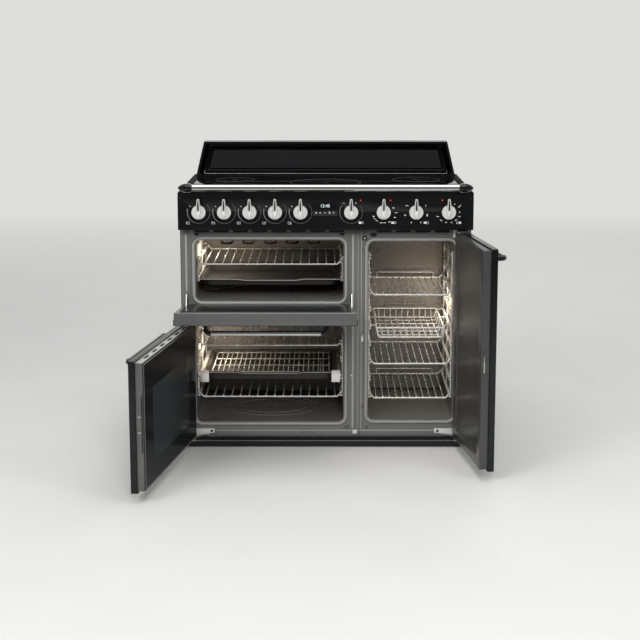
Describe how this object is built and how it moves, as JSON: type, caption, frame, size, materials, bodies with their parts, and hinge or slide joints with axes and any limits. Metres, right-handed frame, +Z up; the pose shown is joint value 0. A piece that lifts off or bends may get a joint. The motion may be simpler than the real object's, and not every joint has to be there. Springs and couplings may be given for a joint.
{
  "type": "range cooker",
  "caption": "Range cooker with a drop-down upper oven, side-hung main and tall ovens, sliding racks, trays and basket, rotary controls, induction hob and splashback.",
  "frame": {"origin": "on the floor, under the middle of the body's width and depth with the doors closed", "axes": "+X to the right seen from the front, +Y to the rear, +Z up"},
  "size_m": [1.2061, 1.1714, 1.025],
  "materials": {
    "black_enamel": "gloss black enamel of the doors and the control panel",
    "front_enamel": "satin grey enamel of the oven fronts",
    "cavity_enamel": "speckled dark enamel of the ovens",
    "tray_enamel": "gloss dark enamel of the trays",
    "case_steel": "painted sheet of the case",
    "plinth_black": "matt black plinth",
    "zinc_steel": "bare sheet steel",
    "chrome": "polished chrome of bars, racks and fittings",
    "silver_knob": "satin silver of the knobs",
    "handle_metal": "polished handles",
    "door_glass": "tinted door glass",
    "hob_glass": "opaque black hob glass",
    "clock_glass": "black clock window",
    "lamp_glass": "clear lamp glass",
    "seal_braid": "braided glass-fibre seal",
    "copper": "wound coils",
    "black_plastic": "moulded black plastic",
    "element_steel": "dark heating element tube"
  },
  "bodies": {
    "carcass": {"base_pan": "zinc_steel", "feet": "black_plastic", "plinth": "plinth_black", "side_panels": "case_steel", "back_panel": "zinc_steel", "front_left": "front_enamel", "front_right": "front_enamel", "upper_cavity": "cavity_enamel", "main_cavity": "cavity_enamel", "tall_cavity": "cavity_enamel", "door_seals": "seal_braid", "fan_covers": "cavity_enamel", "heating_elements": "element_steel", "oven_lamps": "lamp_glass", "side_ladders": "chrome", "control_panel": "black_enamel", "clock_window": "clock_glass", "electrics": "black_plastic", "hob_surround": "black_enamel", "hob_glass": "hob_glass", "induction_coils": "copper", "front_bar": "chrome", "splashback": "black_enamel", "carcass_fittings": "chrome"},
    "flap_door": {"flap_skin": "black_enamel", "flap_frame": "black_enamel", "flap_glass": "door_glass", "flap_handle": "handle_metal", "flap_hinges": "chrome"},
    "main_door": {"main_door_skin": "black_enamel", "main_door_frame": "black_enamel", "main_door_glass": "door_glass", "main_door_handle": "handle_metal", "main_door_fittings": "chrome"},
    "tall_door": {"tall_door_skin": "black_enamel", "tall_door_liner": "cavity_enamel", "tall_door_handle": "handle_metal", "tall_door_fittings": "chrome"},
    "knob_1_body": {"knob_1": "silver_knob"},
    "knob_2_body": {"knob_2": "silver_knob"},
    "knob_3_body": {"knob_3": "silver_knob"},
    "knob_4_body": {"knob_4": "silver_knob"},
    "knob_5_body": {"knob_5": "silver_knob"},
    "knob_6_body": {"knob_6": "silver_knob"},
    "knob_7_body": {"knob_7": "silver_knob"},
    "knob_8_body": {"knob_8": "silver_knob"},
    "knob_9_body": {"knob_9": "silver_knob"},
    "upper_rack_body": {"upper_rack": "chrome"},
    "upper_tray_body": {"upper_tray": "tray_enamel"},
    "main_rack_body": {"main_rack": "chrome"},
    "low_rack_body": {"low_rack": "chrome"},
    "tall_rack_top_body": {"tall_rack_top": "chrome"},
    "tall_basket_body": {"tall_basket": "chrome"},
    "tall_rack_middle_body": {"tall_rack_middle": "chrome"},
    "tall_rack_low_body": {"tall_rack_low": "chrome"},
    "main_tray_body": {"main_tray": "tray_enamel", "tray_grid": "chrome", "tray_runners": "chrome"},
    "main_fan_body": {"main_fan": "zinc_steel"},
    "tall_fan_body": {"tall_fan": "zinc_steel"}
  },
  "joints": [
    {"name": "flap_hinge", "type": "hinge", "parent": "carcass", "child": "flap_door", "pos_m": [-0.1945, -0.285, 0.476], "axis": [1, 0, 0], "range_deg": [-83.5, 0]},
    {"name": "main_door_hinge", "type": "hinge", "parent": "carcass", "child": "main_door", "pos_m": [-0.483, -0.287, 0.2385], "axis": [0, 0, -1], "range_deg": [-100, 0]},
    {"name": "tall_door_hinge", "type": "hinge", "parent": "carcass", "child": "tall_door", "pos_m": [0.478, -0.287, 0.3935], "axis": [0, 0, 1], "range_deg": [-98, 0]},
    {"name": "knob_1_turn", "type": "hinge", "parent": "carcass", "child": "knob_1_body", "pos_m": [-0.429, -0.3, 0.829], "axis": [0, 1, 0], "range_deg": [0, 270]},
    {"name": "knob_2_turn", "type": "hinge", "parent": "carcass", "child": "knob_2_body", "pos_m": [-0.343, -0.3, 0.829], "axis": [0, 1, 0], "range_deg": [0, 270]},
    {"name": "knob_3_turn", "type": "hinge", "parent": "carcass", "child": "knob_3_body", "pos_m": [-0.257, -0.3, 0.829], "axis": [0, 1, 0], "range_deg": [0, 270]},
    {"name": "knob_4_turn", "type": "hinge", "parent": "carcass", "child": "knob_4_body", "pos_m": [-0.171, -0.3, 0.829], "axis": [0, 1, 0], "range_deg": [0, 270]},
    {"name": "knob_5_turn", "type": "hinge", "parent": "carcass", "child": "knob_5_body", "pos_m": [-0.085, -0.3, 0.829], "axis": [0, 1, 0], "range_deg": [0, 270]},
    {"name": "knob_6_turn", "type": "hinge", "parent": "carcass", "child": "knob_6_body", "pos_m": [0.086, -0.3, 0.829], "axis": [0, 1, 0], "range_deg": [0, 270]},
    {"name": "knob_7_turn", "type": "hinge", "parent": "carcass", "child": "knob_7_body", "pos_m": [0.196, -0.3, 0.829], "axis": [0, 1, 0], "range_deg": [0, 270]},
    {"name": "knob_8_turn", "type": "hinge", "parent": "carcass", "child": "knob_8_body", "pos_m": [0.306, -0.3, 0.829], "axis": [0, 1, 0], "range_deg": [0, 270]},
    {"name": "knob_9_turn", "type": "hinge", "parent": "carcass", "child": "knob_9_body", "pos_m": [0.416, -0.3, 0.829], "axis": [0, 1, 0], "range_deg": [0, 270]},
    {"name": "upper_rack_slide", "type": "slide", "parent": "carcass", "child": "upper_rack_body", "axis": [0, -1, 0], "range_m": [0, 0.28]},
    {"name": "upper_tray_slide", "type": "slide", "parent": "carcass", "child": "upper_tray_body", "axis": [0, -1, 0], "range_m": [0, 0.28]},
    {"name": "main_rack_slide", "type": "slide", "parent": "carcass", "child": "main_rack_body", "axis": [0, -1, 0], "range_m": [0, 0.28]},
    {"name": "main_tray_slide", "type": "slide", "parent": "carcass", "child": "main_tray_body", "axis": [0, -1, 0], "range_m": [0, 0.28]},
    {"name": "low_rack_slide", "type": "slide", "parent": "carcass", "child": "low_rack_body", "axis": [0, -1, 0], "range_m": [0, 0.28]},
    {"name": "tall_rack_top_slide", "type": "slide", "parent": "carcass", "child": "tall_rack_top_body", "axis": [0, -1, 0], "range_m": [0, 0.28]},
    {"name": "tall_basket_slide", "type": "slide", "parent": "carcass", "child": "tall_basket_body", "axis": [0, -1, 0], "range_m": [0, 0.28]},
    {"name": "tall_rack_middle_slide", "type": "slide", "parent": "carcass", "child": "tall_rack_middle_body", "axis": [0, -1, 0], "range_m": [0, 0.28]},
    {"name": "tall_rack_low_slide", "type": "slide", "parent": "carcass", "child": "tall_rack_low_body", "axis": [0, -1, 0], "range_m": [0, 0.28]},
    {"name": "main_fan_spin", "type": "hinge", "parent": "carcass", "child": "main_fan_body", "pos_m": [-0.194, 0.165, 0.262], "axis": [0, 1, 0], "continuous": true},
    {"name": "tall_fan_spin", "type": "hinge", "parent": "carcass", "child": "tall_fan_body", "pos_m": [0.2955, 0.165, 0.419], "axis": [0, 1, 0], "continuous": true}
  ]
}
